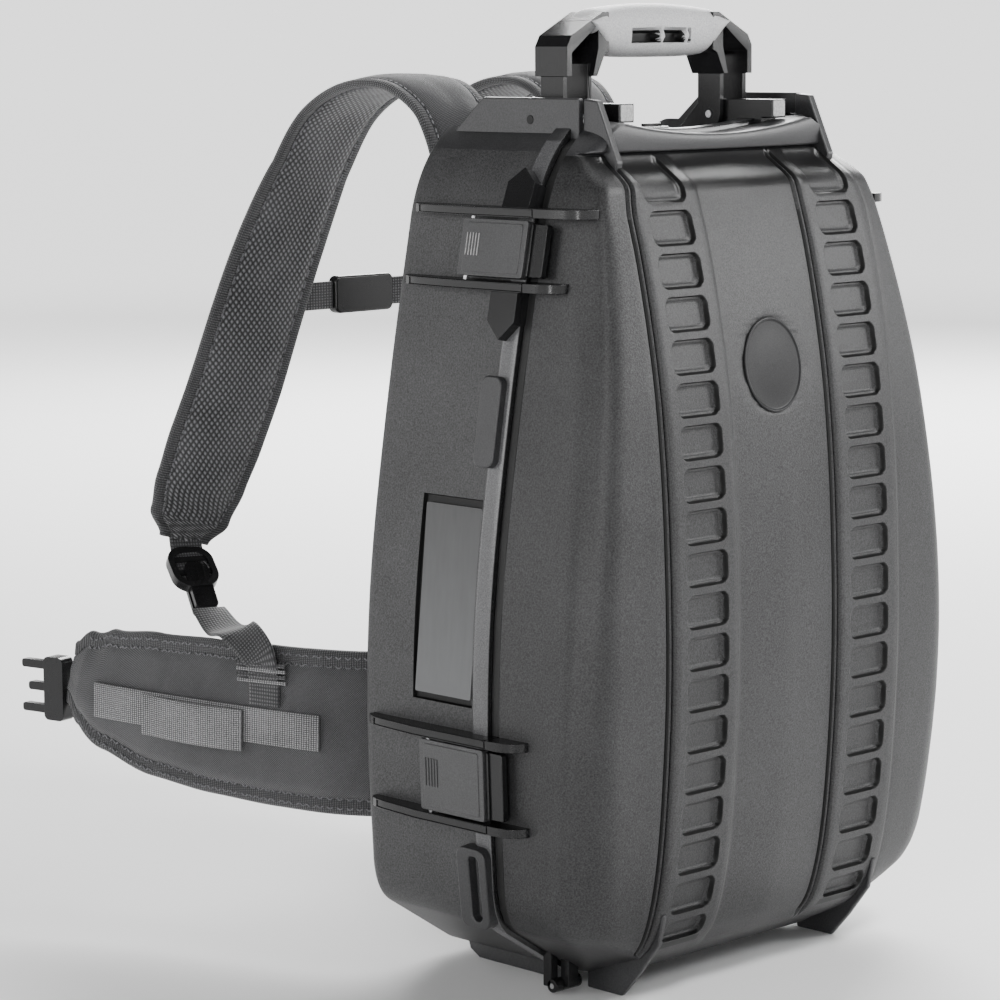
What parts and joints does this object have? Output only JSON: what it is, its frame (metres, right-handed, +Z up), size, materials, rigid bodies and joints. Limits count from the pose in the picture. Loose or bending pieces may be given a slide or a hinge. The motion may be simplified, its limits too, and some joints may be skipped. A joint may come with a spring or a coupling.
{
  "type": "hard shell backpack",
  "caption": "Hard shell case worn as a backpack, with a hinged lid, side latches, folding carry handle and padded harness.",
  "frame": {"origin": "middle of the whole bounding box in plan, on the floor that the feet stand on", "axes": "+X to the right seen from the lid, +Y towards the harness, +Z up"},
  "size_m": [0.4242, 0.5476, 0.6315],
  "materials": {
    "shell": "matte",
    "trim": "satin",
    "rubber": "matte",
    "grip": "satin",
    "label": "gloss",
    "steel": "satin",
    "fabric": "matte",
    "webbing": "matte"
  },
  "bodies": {
    "case": {"tub_shell": "shell", "rim_gasket": "rubber", "label_plate_right": "label", "label_plate_left": "label", "purge_knob": "trim", "handle_pin_right": "steel", "handle_pin_left": "steel", "latch_pin_upper_right": "steel", "latch_pin_upper_left": "steel", "latch_pin_lower_right": "steel", "latch_pin_lower_left": "steel", "hinge_pin_right": "steel", "hinge_pin_left": "steel", "back_pad": "fabric", "shoulder_strap_right": "fabric", "shoulder_strap_left": "fabric", "strap_adjuster_right": "trim", "strap_adjuster_left": "trim", "lower_webbing_right": "webbing", "lower_webbing_left": "webbing", "belt_wing_right": "fabric", "belt_wing_left": "fabric", "belt_webbing_right": "webbing", "belt_webbing_left": "webbing", "belt_buckle_plug": "trim", "belt_buckle_socket": "trim", "sternum_webbing_right": "webbing", "sternum_webbing_left": "webbing", "sternum_buckle": "trim"},
    "lid": {"lid_shell": "shell", "badge_plate": "trim"},
    "handle": {"handle_arm_right": "trim", "handle_arm_left": "trim", "handle_grip": "grip"},
    "latch_upper_right": {"latch_lever_upper_right": "trim"},
    "latch_upper_left": {"latch_lever_upper_left": "trim"},
    "latch_lower_right": {"latch_lever_lower_right": "trim"},
    "latch_lower_left": {"latch_lever_lower_left": "trim"}
  },
  "joints": [
    {"name": "lid_hinge", "type": "hinge", "parent": "case", "child": "lid", "pos_m": [-0.00137, -0.18921, 0.006], "axis": [1, 0, 0], "range_deg": [0, 100]},
    {"name": "handle_fold", "type": "hinge", "parent": "case", "child": "handle", "pos_m": [-0.00137, -0.14571, 0.561], "axis": [-1, 0, 0], "range_deg": [0, 90]},
    {"name": "latch_upper_right_turn", "type": "hinge", "parent": "case", "child": "latch_upper_right", "pos_m": [0.14984, -0.13421, 0.48152], "axis": [-0.1966, 0, 0.9805], "range_deg": [0, 100]},
    {"name": "latch_upper_left_turn", "type": "hinge", "parent": "case", "child": "latch_upper_left", "pos_m": [-0.15259, -0.13421, 0.48152], "axis": [-0.1966, 0, -0.9805], "range_deg": [0, 100]},
    {"name": "latch_lower_right_turn", "type": "hinge", "parent": "case", "child": "latch_lower_right", "pos_m": [0.18924, -0.13421, 0.1465], "axis": [0.0384, 0, 0.9993], "range_deg": [0, 100]},
    {"name": "latch_lower_left_turn", "type": "hinge", "parent": "case", "child": "latch_lower_left", "pos_m": [-0.19199, -0.13421, 0.1465], "axis": [0.0384, 0, -0.9993], "range_deg": [0, 100]}
  ]
}
